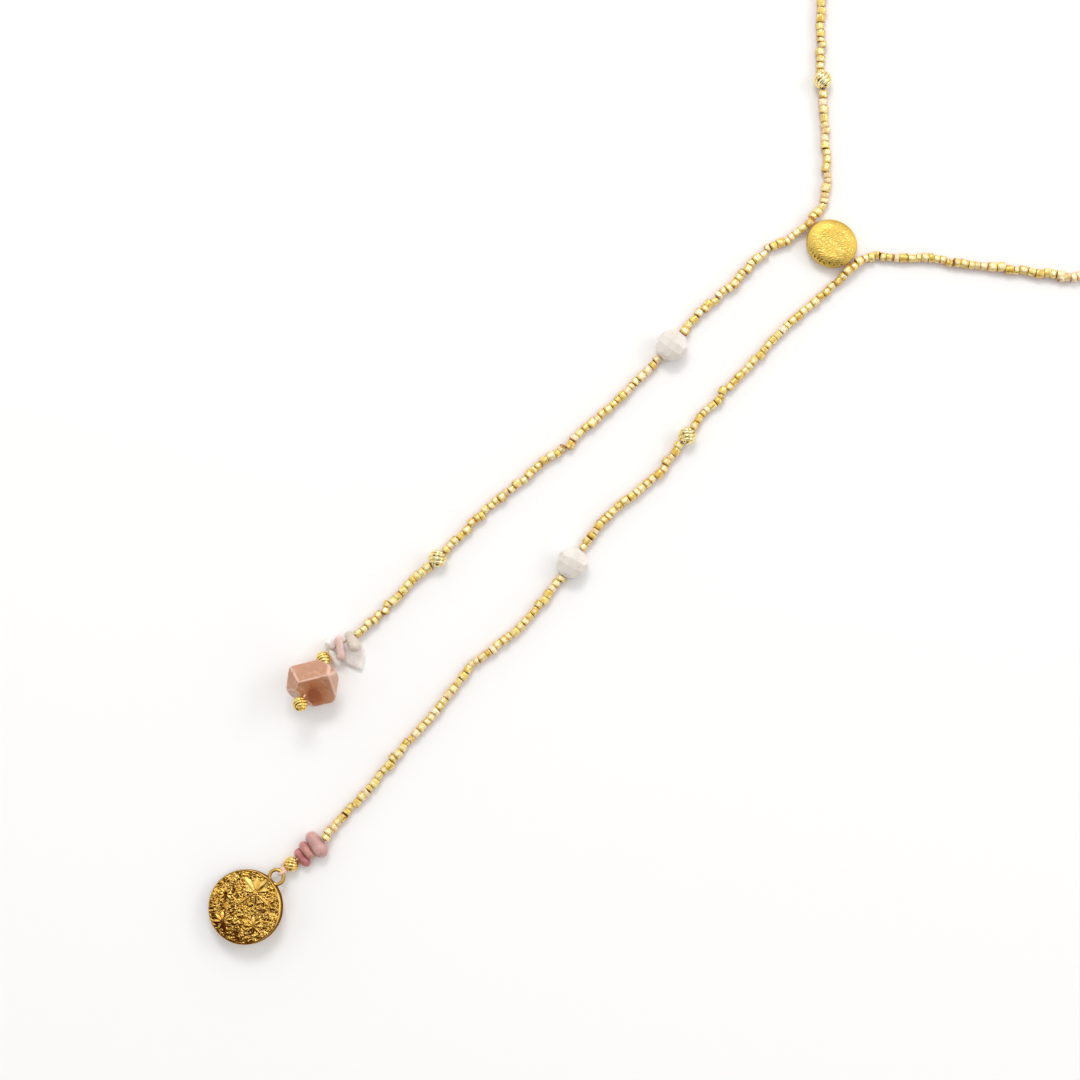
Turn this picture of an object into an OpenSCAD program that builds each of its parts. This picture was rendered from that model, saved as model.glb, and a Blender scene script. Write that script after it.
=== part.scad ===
// Lariat necklace laid out flat: a seed bead neck loop, a coin that links its two strings,
// and two tails that end in a nugget and in a coin pendant. The loop lies towards +Y and
// the tails towards -Y. Everything is placed from the middle of the slider coin, then moved
// so that the origin is under the middle of the whole necklace.

/* [Slider coin] */
// Diameter of the slightly oval slider coin at its longest
coin_d = 10.3; // [8:0.1:14]
// Shortest diameter of the slider coin as a share of its longest
coin_oval = 0.9; // [0.85:0.01:1]
// Turn of the slider coin's longest diameter away from its hole
coin_oval_turn = 21; // [-30:1:30]
// Thickness of the slider coin at its middle
coin_t = 3; // [2.6:0.1:4]
// Thickness of the slider coin at its edge
coin_edge = 1.6; // [1.4:0.1:2]
// Turn of the slider coin's hole away from square to the tails
coin_turn = -6; // [-12:1:12]

/* [Strings] */
// Diameter of the seed beads
seed_d = 1.8; // [1.5:0.1:2.2]
// Diameter of the thread
thread_d = 0.4; // [0.3:0.05:0.5]
// Diameter of the holes for the thread
hole_d = 0.7; // [0.7:0.05:0.8]
// Space between neighbouring pieces on a string
gap = 0.2; // [0.15:0.05:0.3]
// Radius of the round at the back of the neck loop
loop_r = 91; // [75:1:110]

/* [Gold balls] */
// Diameter of the three large fluted balls
ball_d = 3.6; // [3:0.1:4.4]
// Diameter of the three small fluted balls
small_ball_d = 3; // [2.4:0.1:3.4]
// Number of flutes round a ball
flutes = 8; // [6:1:12]
// Depth of a flute as a share of the ball's radius
flute_depth = 0.12; // [0.05:0.01:0.2]
// Right-handed turn of a flute from one hole to the other
flute_twist = 150; // [0:10:180]

/* [Stones] */
// Width of the two faceted coin stones
quartz_w = 6.1; // [5:0.1:8]
// Thickness of the faceted coin stones
quartz_t = 4; // [3:0.1:5]
// Length of the faceted coin stones along their hole
quartz_l = 6.1; // [4.8:0.1:7.6]
// Length of the largest stone chips
chip_l = 6; // [5:0.1:7]
// Width of the nugget
nugget_w = 10.3; // [8:0.1:12]
// Slope of the nugget's hole
nugget_slope = 32; // [29:1:34]

/* [Coin pendant] */
// Diameter of the pendant coin
pendant_d = 14.8; // [12:0.2:18]
// Thickness of the pendant coin
pendant_t = 2.2; // [1.6:0.1:3]
// Width of the raised edge round the pendant coin's face
rim_w = 0.4; // [0.3:0.1:1]
// Height of the raised edge and of the stars
relief_h = 0.25; // [0.1:0.05:0.4]
// Inside diameter of the soldered ring
ring_bore = 2.2; // [2:0.1:3]
// Diameter of the ring's wire
ring_wire = 0.7; // [0.5:0.05:0.9]
// Lean of the pendant, with its +X side up
pendant_lean = 10; // [0:1:15]
// Pitch of the pendant, with its ring down
pendant_pitch = 0.5; // [0:0.5:2]

/* [Hidden] */
$fn = 48;
seed_r = seed_d / 2;
thread_r = thread_d / 2;
tube_sides = 8;
end_clearance = 0.15;

// Chosen points of the strings on the floor, seen from above
neck_left_route = [
  [[-6.7, 4], [-9.4, 8], [-12.3, 11], [-18.2, 16.4]],
  [[-28, 25]]
];
neck_right_route = [
  [7.2, 3.6], [9.8, 6], [12.2, 8.2], [14.3, 10.6], [19.6, 14.6],
  [25, 18.6], [31, 23.4], [37, 28.3], [40, 31]
];
left_tail_route = [
  [[-6.6, -5], [-8, -9], [-8.6, -14], [-8.2, -19], [-8.7, -23], [-8.9, -29]],
  [[-8.2, -45], [-8.1, -51], [-8.4, -57], [-8.9, -63], [-8.7, -66], [-9.9, -72],
   [-10.2, -76], [-10.9, -82], [-11.2, -88], [-11.1, -94]],
  [[-11.6, -105], [-11.6, -110], [-11.5, -116], [-12, -122.3]]
];
right_tail_route = [
  [[6.2, -5], [5.9, -10], [5.5, -16], [5.3, -22], [5.7, -28], [5.6, -33], [6.1, -38],
   [5.8, -42]],
  [[7.4, -53], [8, -57], [7.5, -63], [6.8, -69], [7.1, -74]],
  [[9.4, -89], [10, -94], [9.9, -100], [9.4, -106], [8.6, -110], [9.3, -115], [9.8, -120],
   [10.5, -126], [10.5, -131], [11.2, -137], [11.6, -142], [11.9, -147], [11.8, -151],
   [12.3, -155.6]]
];
neck_ball_at = [-24.3, 21.7];
left_quartz_at = [-8.2, -37];
left_ball_at = [-11.2, -99.9];
right_ball_at = [6.7, -47.5];
right_quartz_at = [8.4, -81.6];

// Small vector helpers
function unit(v) = v / norm(v);
function flat(v) = [v.x, v.y];
function lift(p, z) = [p.x, p.y, z];
function last(list) = list[len(list) - 1];
function heading(v) = atan2(v.y, v.x) - 90;
function slope(v) = asin(unit(v).z);

// Two strings meet the slider coin's thread at these joints beside its edge
joint_run = coin_d / 2 + seed_r + gap;
left_joint = [-joint_run * cos(coin_turn), -joint_run * sin(coin_turn), coin_t / 2];
right_joint = [-left_joint.x, -left_joint.y, coin_t / 2];
link_r = thread_r + end_clearance + thread_r;
joint_half = seed_r / 2;

// The loop's plain round behind the neck, which each string joins on a tangent
loop_y = loop_r * sqrt(2) - 3;
round_steps = 15;
function tangent_angle(p) =
  let (v = [abs(p.x), p.y - loop_y]) atan2(v.y, v.x) + acos(loop_r / norm(v));

// A bead on a string is [middle, direction of its hole, half its length along the hole]
function strung(at, height, from, to, half) = [lift(at, height), unit(lift(to - from, 0)), half];
ball_half = ball_d * 0.45;
small_half = small_ball_d * 0.45;
neck_ball = strung(neck_ball_at, ball_d / 2, last(neck_left_route[0]), neck_left_route[1][0],
                   ball_half);
left_quartz = strung(left_quartz_at, quartz_t / 2, last(left_tail_route[0]),
                     left_tail_route[1][0], quartz_l / 2);
left_ball = strung(left_ball_at, ball_d / 2, last(left_tail_route[1]), left_tail_route[2][0],
                   ball_half);
right_ball = strung(right_ball_at, ball_d / 2, last(right_tail_route[0]),
                    right_tail_route[1][0], ball_half);
right_quartz = strung(right_quartz_at, quartz_t / 2, last(right_tail_route[1]),
                      right_tail_route[2][0], quartz_l / 2);

// Chips: where the hole's middle lies along the thread, then lobes [across, along, up, radius].
// All are shares of chip_l, and along counts against the thread's run.
pale_chips = [
  [0.185, [[-0.1, 0, 0.03, 0.145], [0.32, 0, 0.26, 0.2]]],
  [0.455, [[0.03, 0, -0.03, 0.08], [0.54, -0.27, -0.15, 0.08], [0.99, 0, -0.15, 0.08],
           [0.72, 0.3, -0.15, 0.08], [0.48, 0.38, -0.15, 0.08]]],
  [0.64, [[-0.17, 0.12, 0.17, 0.12], [0, 0, 0.02, 0.075], [0.35, -0.11, 0.17, 0.13]]],
  [0.815, [[-0.24, -0.02, -0.05, 0.15], [-0.02, 0, 0, 0.075], [-0.24, -0.08, 0.12, 0.09]]],
  [0.99, [[0.01, 0, -0.01, 0.075], [0.42, -0.03, -0.09, 0.12]]]
];
pink_chips = [
  [0.285, [[-0.27, 0.01, 0, 0.21], [0.22, 0, 0.02, 0.25], [0.3, -0.03, 0, 0.2]]],
  [0.64, [[-0.25, -0.01, 0.05, 0.14], [0, 0, 0.03, 0.085], [0.16, -0.02, 0.12, 0.11]]],
  [0.935, [[-0.14, 0, -0.03, 0.14], [0.26, 0, -0.05, 0.15]]]
];

// Nugget: each facet's bearing, upward slope and distance as a share of nugget_w
nugget_facets = [
  [143, 43, 0.347], [337, 53, 0.251], [216, 36, 0.433], [285, 23, 0.354], [34, 29, 0.452],
  [91, 34, 0.521], [153, -29, 0.368], [218, -25, 0.429], [277, -30, 0.472],
  [323, -29, 0.412], [37, -31, 0.433], [93, -33, 0.361], [0, -90, 0.47]
];
nugget_z = 0.47 * nugget_w;
nugget_hole = [-0.033, 0.032, 0.035] * nugget_w;
nugget_half_run = 0.385 * nugget_w;

// The left tail's end: the thread rises through the chips, the nugget and the end ball
left_end = lift(last(left_tail_route[2]), seed_r + 0.5);
left_cap_step = [-0.1783, -1.3033] * chip_l;
nugget_way_flat = unit([3.13, -8.61]);
nugget_way = [nugget_way_flat.x * cos(nugget_slope), nugget_way_flat.y * cos(nugget_slope),
              sin(nugget_slope)];
nugget_step = nugget_way * (nugget_half_run + small_half + gap);
cap_at = lift(flat(left_end) + left_cap_step, nugget_z + nugget_hole.z - nugget_step.z);
hole_at = cap_at + nugget_step;
nugget_at = hole_at - nugget_hole;
end_ball_at = hole_at + nugget_step;
cap_ball = [cap_at, nugget_way, small_half];
end_ball = [end_ball_at, nugget_way, small_half];
chips_end = cap_at - nugget_way * (small_half + gap);
pale_way = unit(chips_end - left_end);

// The right tail's end: chips, a small ball, the knot and the coin pendant
right_end = lift(last(right_tail_route[2]), seed_r + 0.6);
right_ball_step = [-0.1733, -1.3367] * chip_l;
right_end_way = unit(lift(right_ball_step, 0));
drop_ball_at = lift(flat(right_end) + right_ball_step, small_ball_d / 2);
drop_ball = [drop_ball_at, right_end_way, small_half];
pink_end = drop_ball_at - right_end_way * (small_half + gap);
pink_way = unit(pink_end - right_end);
pendant_r = pendant_d / 2;
pendant_tilt = acos(cos(pendant_lean) * cos(pendant_pitch));
pendant_z = pendant_r * sin(pendant_tilt) + pendant_t / 2 * cos(pendant_tilt);
ring_r = ring_bore / 2 + ring_wire / 2;
ring_reach = pendant_r + ring_bore / 2;
ring_top = ring_reach + ring_r;
ring_top_z = pendant_z - ring_top * sin(pendant_pitch);
pendant_way = unit([-0.13, -10]);
knot_r = thread_r * 1.8;
knot_loop_r = ring_wire / 2 + end_clearance + thread_r;
knot_reach = ring_wire / 2 + end_clearance + knot_r;
knot_at = lift(flat(drop_ball_at) + flat(right_end_way) * (small_half + gap + knot_r),
               max(knot_r, ring_top_z - 0.85 * knot_reach));
knot_run = sqrt(pow(knot_reach, 2) - pow(ring_top_z - knot_at.z, 2));
ring_top_flat = flat(knot_at) + pendant_way * knot_run;
pendant_flat = ring_top_flat + pendant_way * ring_top * cos(pendant_pitch);

// Origin under the middle of the whole necklace
far_y = loop_y + loop_r + seed_r;
near_y = pendant_flat.y - pendant_r;
origin = [0, (far_y + near_y) / 2, 0];

// A closed skin over rings that have the same number of points
module skin(rings) {
  n = len(rings[0]);
  m = len(rings);
  points = [for (ring = rings) for (p = ring) p];
  start = [for (k = [n - 1 : -1 : 0]) k];
  end = [for (k = [0 : n - 1]) (m - 1) * n + k];
  sides = [
    for (i = [0 : m - 2]) for (k = [0 : n - 1]) for (half = [0, 1])
      let (a = i * n + k, b = i * n + (k + 1) % n)
        half == 0 ? [a, b, b + n] : [a, b + n, a + n]
  ];
  polyhedron(points, concat([start, end], sides), convexity = 6);
}

// String tubes: a station is [point, radius, direction], with the direction worked out if undef
function way_at(s, i) =
  is_undef(s[i][2]) ? unit(s[min(i + 1, len(s) - 1)][0] - s[max(i - 1, 0)][0]) : s[i][2];
function tube_ring(p, r, way) =
  let (side = unit(cross(way, [0, 0, 1])), up = cross(side, way), reach = r / cos(180 / tube_sides))
    [for (k = [0 : tube_sides - 1])
      let (a = (k + 0.5) * 360 / tube_sides) p + reach * (cos(a) * side + sin(a) * up)];
module tube(stations) {
  skin([for (i = [0 : len(stations) - 1])
    tube_ring(stations[i][0], stations[i][1], way_at(stations, i))]);
}
function beads(points) = [for (p = points) [lift(p, seed_r), seed_r, undef]];
function through(bead) =
  let (reach = bead[2] + gap, a = bead[0] - bead[1] * reach, b = bead[0] + bead[1] * reach)
    [[a, seed_r, bead[1]], [a, thread_r, bead[1]], [b, thread_r, bead[1]], [b, seed_r, bead[1]]];
function from_joint(joint, way) =
  [[joint, thread_r, way], [joint + way * joint_half, thread_r, way],
   [joint + way * joint_half, seed_r, way]];
function round_back(side, from) =
  let (start = tangent_angle(from))
    [for (i = [0 : round_steps])
      let (a = start + (90 - start) * i / round_steps)
        [[side * loop_r * cos(a), loop_y + loop_r * sin(a), seed_r], seed_r,
         [-side * sin(a), cos(a), 0]]];

module neck_string_left() {
  color("palegoldenrod") tube(concat(
    from_joint(left_joint, [0, 1, 0]), beads(neck_left_route[0]), through(neck_ball),
    beads(neck_left_route[1]), round_back(-1, last(neck_left_route[1]))));
}

module neck_string_right() {
  color("palegoldenrod") tube(concat(
    from_joint(right_joint, [0, 1, 0]), beads(neck_right_route),
    round_back(1, last(neck_right_route))));
}

module left_string() {
  color("palegoldenrod") tube(concat(
    from_joint(left_joint, [0, -1, 0]), beads(left_tail_route[0]), through(left_quartz),
    beads(left_tail_route[1]), through(left_ball),
    beads([for (i = [0 : len(left_tail_route[2]) - 2]) left_tail_route[2][i]]),
    [[left_end, seed_r, pale_way], [left_end, thread_r, pale_way],
     [chips_end, thread_r, pale_way], [cap_at, thread_r, nugget_way],
     [end_ball_at + nugget_way * small_half / 2, thread_r, nugget_way]]));
}

module right_string() {
  color("palegoldenrod") tube(concat(
    from_joint(right_joint, [0, -1, 0]), beads(right_tail_route[0]), through(right_ball),
    beads(right_tail_route[1]), through(right_quartz),
    beads([for (i = [0 : len(right_tail_route[2]) - 2]) right_tail_route[2][i]]),
    [[right_end, seed_r, pink_way], [right_end, thread_r, pink_way],
     [pink_end, thread_r, pink_way], [drop_ball_at, thread_r, right_end_way],
     [drop_ball_at + right_end_way * (small_half + gap / 2), thread_r, right_end_way]]));
}

// Puts a shape whose hole runs along Y at a place, with its hole along a direction
module on_thread(at, way) {
  translate(at) rotate([slope(-way), 0, heading(-way)]) children();
}
module bore(run) {
  rotate([90, 0, 0]) cylinder(d = hole_d, h = run * 2, center = true);
}

// Slider coin: domed on both faces, with its hole across from edge to edge
coin_flat = coin_d * 0.28;
coin_dome = 6;
function dome(t) = (coin_edge + (coin_t - coin_edge) * cos(90 * t)) / 2;
coin_half = [for (i = [0 : coin_dome])
  [coin_flat + (coin_d / 2 - 0.25 - coin_flat) * i / coin_dome, dome(i / coin_dome)]];
module slider_coin() {
  color("goldenrod") translate([0, 0, coin_t / 2]) rotate([0, 0, coin_turn]) difference() {
    rotate([0, 0, coin_oval_turn]) scale([1, coin_oval, 1]) rotate_extrude() polygon(concat(
      [[0, coin_t / 2]], coin_half, [[coin_d / 2, coin_edge / 4], [coin_d / 2, -coin_edge / 4]],
      [for (i = [coin_dome : -1 : 0]) [coin_half[i].x, -coin_half[i].y]], [[0, -coin_t / 2]]));
    rotate([0, 90, 0]) cylinder(d = hole_d, h = coin_d * 2, center = true);
  }
}

// Thread through the slider coin, with a loop round each string
module slider_thread() {
  reach = joint_run - link_r;
  color("burlywood") {
    translate([0, 0, coin_t / 2]) rotate([0, 0, coin_turn]) rotate([0, 90, 0])
      cylinder(r = thread_r, h = reach * 2, center = true);
    for (joint = [left_joint, right_joint])
      translate(joint) rotate([90, 0, 0]) rotate_extrude() translate([link_r, 0])
        circle(r = thread_r);
  }
}

// Fluted ball with twisted flutes and flat ends round its hole
ball_rings = 12;
module fluted_ball(d, bead) {
  sides = flutes * 2;
  cut = asin(0.9);
  rings = [for (i = [0 : ball_rings])
    let (lat = cut * (1 - 2 * i / ball_rings), turn = flute_twist * (0.5 - i / ball_rings))
      [for (k = [0 : sides - 1])
        let (a = k * 360 / sides + turn,
             r = d / 2 * cos(lat) * (k % 2 == 0 ? 1 : 1 - flute_depth))
          [r * cos(a), r * sin(a), d / 2 * sin(lat)]]];
  color("gold") on_thread(bead[0], bead[1]) difference() {
    rotate([90, 0, 0]) skin(rings);
    bore(d);
  }
}

// Coin stone cut with a table and two rows of facets on each side
quartz_sides = 12;
quartz_rows = [[1, 0.55], [0.62, 0.85], [0.14, 1], [-0.14, 1], [-0.62, 0.85], [-1, 0.55]];
module coin_stone(bead) {
  rings = [for (i = [0 : len(quartz_rows) - 1])
    let (turn = [0, 0.5, 0, 0, 0.5, 0][i])
      [for (k = [0 : quartz_sides - 1])
        let (a = (k + turn) * 360 / quartz_sides, r = quartz_rows[i][1] * quartz_w / 2)
          [r * cos(a), r * sin(a), quartz_rows[i][0] * quartz_t / 2]]];
  color("mistyrose") on_thread(bead[0], bead[1]) difference() {
    skin(rings);
    for (end = [-1, 1])
      translate([0, end * (quartz_l / 2 + quartz_w), 0])
        cube([2 * quartz_w, 2 * quartz_w, 2 * quartz_t], center = true);
    bore(quartz_w);
  }
}

// Tumbled chip: a hull of lobes, drilled for the thread
module chip(start, way, row, shade) {
  color(shade) on_thread(start + way * row[0] * chip_l, way) difference() {
    hull() for (lobe = row[1])
      translate([lobe[0], lobe[1], lobe[2]] * chip_l) sphere(r = lobe[3] * chip_l, $fn = 16);
    bore(chip_l);
  }
}
module pale_chip(i) {
  chip(left_end, pale_way, pale_chips[i], i == 2 ? "pink" : "linen");
}
module pink_chip(i) {
  chip(right_end, pink_way, pink_chips[i], i == 0 ? "rosybrown" : "indianred");
}

// Nugget cut by flat facets, resting on the lowest one
module peach_nugget() {
  color("peru") difference() {
    translate(nugget_at) cube(2 * nugget_w, center = true);
    for (facet = nugget_facets)
      translate(nugget_at) rotate([0, -facet[1], facet[0]])
        translate([facet[2] * nugget_w, -2 * nugget_w, -2 * nugget_w]) cube(4 * nugget_w);
    on_thread(hole_at, nugget_way) bore(nugget_w);
  }
}

// Coin pendant: a coin with a raised edge and stars, and a ring soldered to it
stars = [[-0.08, 0.49, 0.4], [-0.6, -0.15, 0.2], [0.52, -0.15, 0.26], [-0.14, -0.68, 0.25]];
module star(r) {
  linear_extrude(relief_h + pendant_t / 4) polygon([for (k = [0 : 15])
    r * [1, 0.3, 0.75, 0.3][k % 4] * [cos(k * 22.5), sin(k * 22.5)]]);
}
module coin_pendant() {
  edge = 0.3;
  r = pendant_r;
  t = pendant_t / 2;
  color("darkgoldenrod")
    translate(lift(pendant_flat, pendant_z))
      rotate([-pendant_pitch, -pendant_lean, heading(-pendant_way)]) {
        rotate_extrude() polygon([
          [0, -t], [r - edge, -t], [r, edge - t], [r, t - edge], [r - edge, t],
          [r - rim_w, t], [r - rim_w - edge, t - relief_h], [0, t - relief_h]]);
        for (s = stars)
          translate([s[0] * r, s[1] * r, t / 2 - relief_h]) star(s[2] * r);
        translate([0, ring_reach, 0]) rotate_extrude() translate([ring_r, 0])
          circle(d = ring_wire);
      }
}

// Knot below the small ball, with a loop of thread round the ring's wire
module pendant_knot() {
  loop_at = lift(ring_top_flat, ring_top_z);
  color("tan") {
    translate(knot_at) sphere(r = knot_r);
    translate(loop_at) rotate([0, 90, 0]) rotate_extrude() translate([knot_loop_r, 0])
      circle(r = thread_r);
  }
}

translate(-origin) {
  slider_coin();
  slider_thread();
  neck_string_left();
  neck_string_right();
  fluted_ball(ball_d, neck_ball);  // neck_gold_ball
  left_string();
  coin_stone(left_quartz);
  fluted_ball(ball_d, left_ball);  // left_gold_ball
  pale_chip(0);  // pale_chip_1
  pale_chip(1);  // pale_chip_2
  pale_chip(2);  // pale_chip_3
  pale_chip(3);  // pale_chip_4
  pale_chip(4);  // pale_chip_5
  fluted_ball(small_ball_d, cap_ball);  // nugget_gold_ball
  peach_nugget();
  fluted_ball(small_ball_d, end_ball);  // end_gold_ball
  right_string();
  fluted_ball(ball_d, right_ball);  // right_gold_ball
  coin_stone(right_quartz);
  pink_chip(0);  // pink_chip_1
  pink_chip(1);  // pink_chip_2
  pink_chip(2);  // pink_chip_3
  fluted_ball(small_ball_d, drop_ball);  // pendant_gold_ball
  pendant_knot();
  coin_pendant();
}
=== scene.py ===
import math
from itertools import product

import bmesh
import bpy
import numpy as np
from mathutils import Matrix, Vector


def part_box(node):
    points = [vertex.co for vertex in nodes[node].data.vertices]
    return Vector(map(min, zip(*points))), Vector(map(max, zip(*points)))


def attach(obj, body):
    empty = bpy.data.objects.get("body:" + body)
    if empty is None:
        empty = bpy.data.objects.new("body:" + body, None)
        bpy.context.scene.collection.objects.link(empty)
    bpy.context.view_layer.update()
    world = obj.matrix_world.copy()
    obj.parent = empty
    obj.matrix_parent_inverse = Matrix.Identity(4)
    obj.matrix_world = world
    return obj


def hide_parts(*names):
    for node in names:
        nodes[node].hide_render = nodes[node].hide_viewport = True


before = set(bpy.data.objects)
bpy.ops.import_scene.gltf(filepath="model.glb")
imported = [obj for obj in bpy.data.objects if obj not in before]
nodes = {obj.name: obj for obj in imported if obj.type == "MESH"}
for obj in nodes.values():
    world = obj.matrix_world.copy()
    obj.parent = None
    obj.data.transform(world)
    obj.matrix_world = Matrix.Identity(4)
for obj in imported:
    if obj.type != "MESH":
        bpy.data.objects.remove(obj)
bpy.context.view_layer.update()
print("frame loaded,", len(nodes), "solids")

mm = 0.001
lowest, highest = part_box("slider_coin")
sliderAt = Vector(((lowest[0] + highest[0]) / 2, (lowest[1] + highest[1]) / 2, 0))


# Camera, floor and light
view = {
    "aim": (0.66, -82.9),  # mm from the slider's middle
    "height": 450,
    "width": 216,  # mm of floor across the picture
    "roll": 45,
}
studio = {
    "floor": (0.96, 0.958, 0.955),
    "sky": (1.0, 0.99, 0.975),
    "skyStrength": 0.92,
    "dark": (0.035, 0.032, 0.03),
    "dims": [  # where the room is dark: direction, cosines at the outer and the inner edge
        ((0.66, -0.57, 0.68), 0.83, 0.93), ((-0.3, -0.75, 0.6), 0.955, 0.985)],
    "panels": [  # place seen from the aim point in metres, size, watts
        ((-0.55, 0.45, 0.80), (0.42, 0.30), 3.6),
        ((0.35, 0.75, 0.60), (0.40, 0.24), 1.3),
    ],
}


def rowPoint(x, y, z=0):
    # mm from the slider's middle to metres in the row's frame
    return sliderAt + Vector((x, y, z)) * mm


def makeCamera():
    camera = bpy.data.objects.new("camera", bpy.data.cameras.new("camera"))
    bpy.context.scene.collection.objects.link(camera)
    camera.location = rowPoint(*view["aim"], view["height"])
    camera.rotation_euler = (0, 0, math.radians(view["roll"]))
    camera.data.sensor_width = 36
    camera.data.lens = 36 * view["height"] / view["width"]
    camera.data.clip_start = 0.01
    bpy.context.scene.camera = camera


def makeStudio():
    aim = rowPoint(*view["aim"])
    for number, (place, size, power) in enumerate(studio["panels"]):
        panel = bpy.data.lights.new("panel%d" % number, "AREA")
        panel.shape = "RECTANGLE"
        panel.size, panel.size_y = size
        panel.energy = power
        lamp = bpy.data.objects.new(panel.name, panel)
        bpy.context.scene.collection.objects.link(lamp)
        lamp.location = aim + Vector(place)
        lamp.rotation_euler = (-Vector(place)).to_track_quat("-Z", "Y").to_euler()
    world = bpy.data.worlds.new("studio")
    bpy.context.scene.world = world
    world.use_nodes = True
    room = Graph(world.node_tree, "Background")
    way = room.node("TexCoord", {}, {}, "Generated")
    colour = (*studio["sky"], 1)
    for dimWay, outer, inner in studio["dims"]:
        towards = room.node("VectorMath", {"operation": "DOT_PRODUCT"}, {
            0: way, 1: Vector(dimWay).normalized()}, "Value")
        colour = room.mix(room.between(towards, outer, inner), colour, (*studio["dark"], 1))
    room.give(color=colour, strength=studio["skyStrength"])
    bpy.context.scene.view_settings.view_transform = "Standard"


# Shader maths
class Wire:
    # wraps a socket, so that sums on it add Math nodes
    def __init__(self, tree, socket):
        self.tree, self.socket = tree, socket

    def maths(self, operation, *values):
        made = self.tree.nodes.new("ShaderNodeMath")
        made.operation = operation
        for socket, value in zip(made.inputs, values):
            if isinstance(value, Wire):
                self.tree.links.new(value.socket, socket)
            else:
                socket.default_value = value
        return Wire(self.tree, made.outputs[0])

    def __add__(self, other):
        return self.maths("ADD", self, other)

    def __radd__(self, other):
        return self.maths("ADD", other, self)

    def __sub__(self, other):
        return self.maths("SUBTRACT", self, other)

    def __rsub__(self, other):
        return self.maths("SUBTRACT", other, self)

    def __mul__(self, other):
        return self.maths("MULTIPLY", self, other)

    def __rmul__(self, other):
        return self.maths("MULTIPLY", other, self)


class Graph:
    # a node tree, with one method that makes any node
    def __init__(self, tree, shader):
        self.tree = tree
        self.shader = tree.nodes[shader]

    def node(self, kind, settings, inputs, output=0):
        made = self.tree.nodes.new("ShaderNode" + kind)
        for name, value in settings.items():
            if name == "stops":
                fillRamp(made.color_ramp, value)
            else:
                setattr(made, name, value)
        for name, value in inputs.items():
            self.feed(made.inputs[name], value)
        return Wire(self.tree, made.outputs[output])

    def feed(self, socket, value):
        if isinstance(value, Wire):
            self.tree.links.new(value.socket, socket)
        else:
            socket.default_value = value

    def give(self, **links):
        for socket, value in links.items():
            self.feed(self.shader.inputs[spaced(socket)], value)

    def attribute(self, name):
        parts = self.node("Attribute", {"attribute_name": name}, {})
        split = self.node("SeparateColor", {}, {"Color": parts}).socket.node
        return [Wire(self.tree, socket) for socket in split.outputs]

    def mix(self, factor, *colours):
        # three numbers are a screen colour
        first, second = (paint(*c) if isinstance(c, tuple) and len(c) == 3 else c for c in colours)
        settings = {"data_type": "RGBA", "clamp_factor": True}
        return self.node("Mix", settings, {0: factor, 6: first, 7: second}, 2)

    def between(self, value, low, high, toLow=0, toHigh=1):
        return self.node("MapRange", {"interpolation_type": "SMOOTHSTEP"}, {
            "Value": value, "From Min": low, "From Max": high, "To Min": toLow, "To Max": toHigh})

    def bump(self, height, strength, distance):
        return self.node("Bump", {}, {
            "Height": height, "Strength": strength, "Distance": distance})


class Finish(Graph):
    # a material, with the values that stay the same set at once
    def __init__(self, name, **constants):
        self.material = bpy.data.materials.new(name)
        self.material.use_nodes = True
        super().__init__(self.material.node_tree, "Principled BSDF")
        self.give(**constants)
        spot = self.node("TexCoord", {}, {}, "Object")
        self.place = self.node("VectorMath", {"operation": "SCALE"}, {0: spot, "Scale": 1000})

    def grain(self, scale, detail=3, rough=0.55, place=None):
        # clouds on the surface's own place in the part, in mm
        return self.node("TexNoise", {}, {
            "Vector": place or self.place, "Scale": scale, "Detail": detail, "Roughness": rough})


def spaced(name):
    # baseColor to Base Color
    return "".join(" " + c if c.isupper() else c for c in name).title().replace("Ior", "IOR")


def fillRamp(ramp, stops):
    while len(ramp.elements) < len(stops):
        ramp.elements.new(0.5)
    for element, (position, colour) in zip(ramp.elements, stops):
        element.position = position
        element.color = paint(*colour)


def paint(*screen):
    # a screen colour, 0 to 255, as the shader takes it
    parts = [value / 255 for value in screen]
    return (*[c / 12.92 if c <= 0.04045 else ((c + 0.055) / 1.055) ** 2.4 for c in parts], 1)


# Finishes
# bright is a painted highlight for the highest relief paint, spot a painted near-black for painted
# shade and dark reflections
goldTints = {"bright": (255, 224, 134), "warm": (240, 188, 84), "spot": (70, 44, 14)}


def polishedGold(name, bright, warm, deep):
    gold = Finish(name, metallic=1, specularTint=paint(*bright))
    patches = gold.grain(0.9)
    relief = gold.attribute("relief")[0]
    colour = gold.mix(gold.between(patches, 0.35, 0.7), bright, warm)
    # painted shade: the deep colour darkens the flute valleys and the hole, where the relief paint
    # is low
    colour = gold.mix(gold.between(relief, 0, 0.35, 0.8, 0), colour, deep)
    scratches = gold.grain(14, 2)
    gold.give(
        baseColor=colour,
        roughness=gold.between(patches, 0.2, 0.8, 0.08, 0.16),
        normal=gold.bump(scratches, 0.12, 0.00002))
    return gold.material


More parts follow.
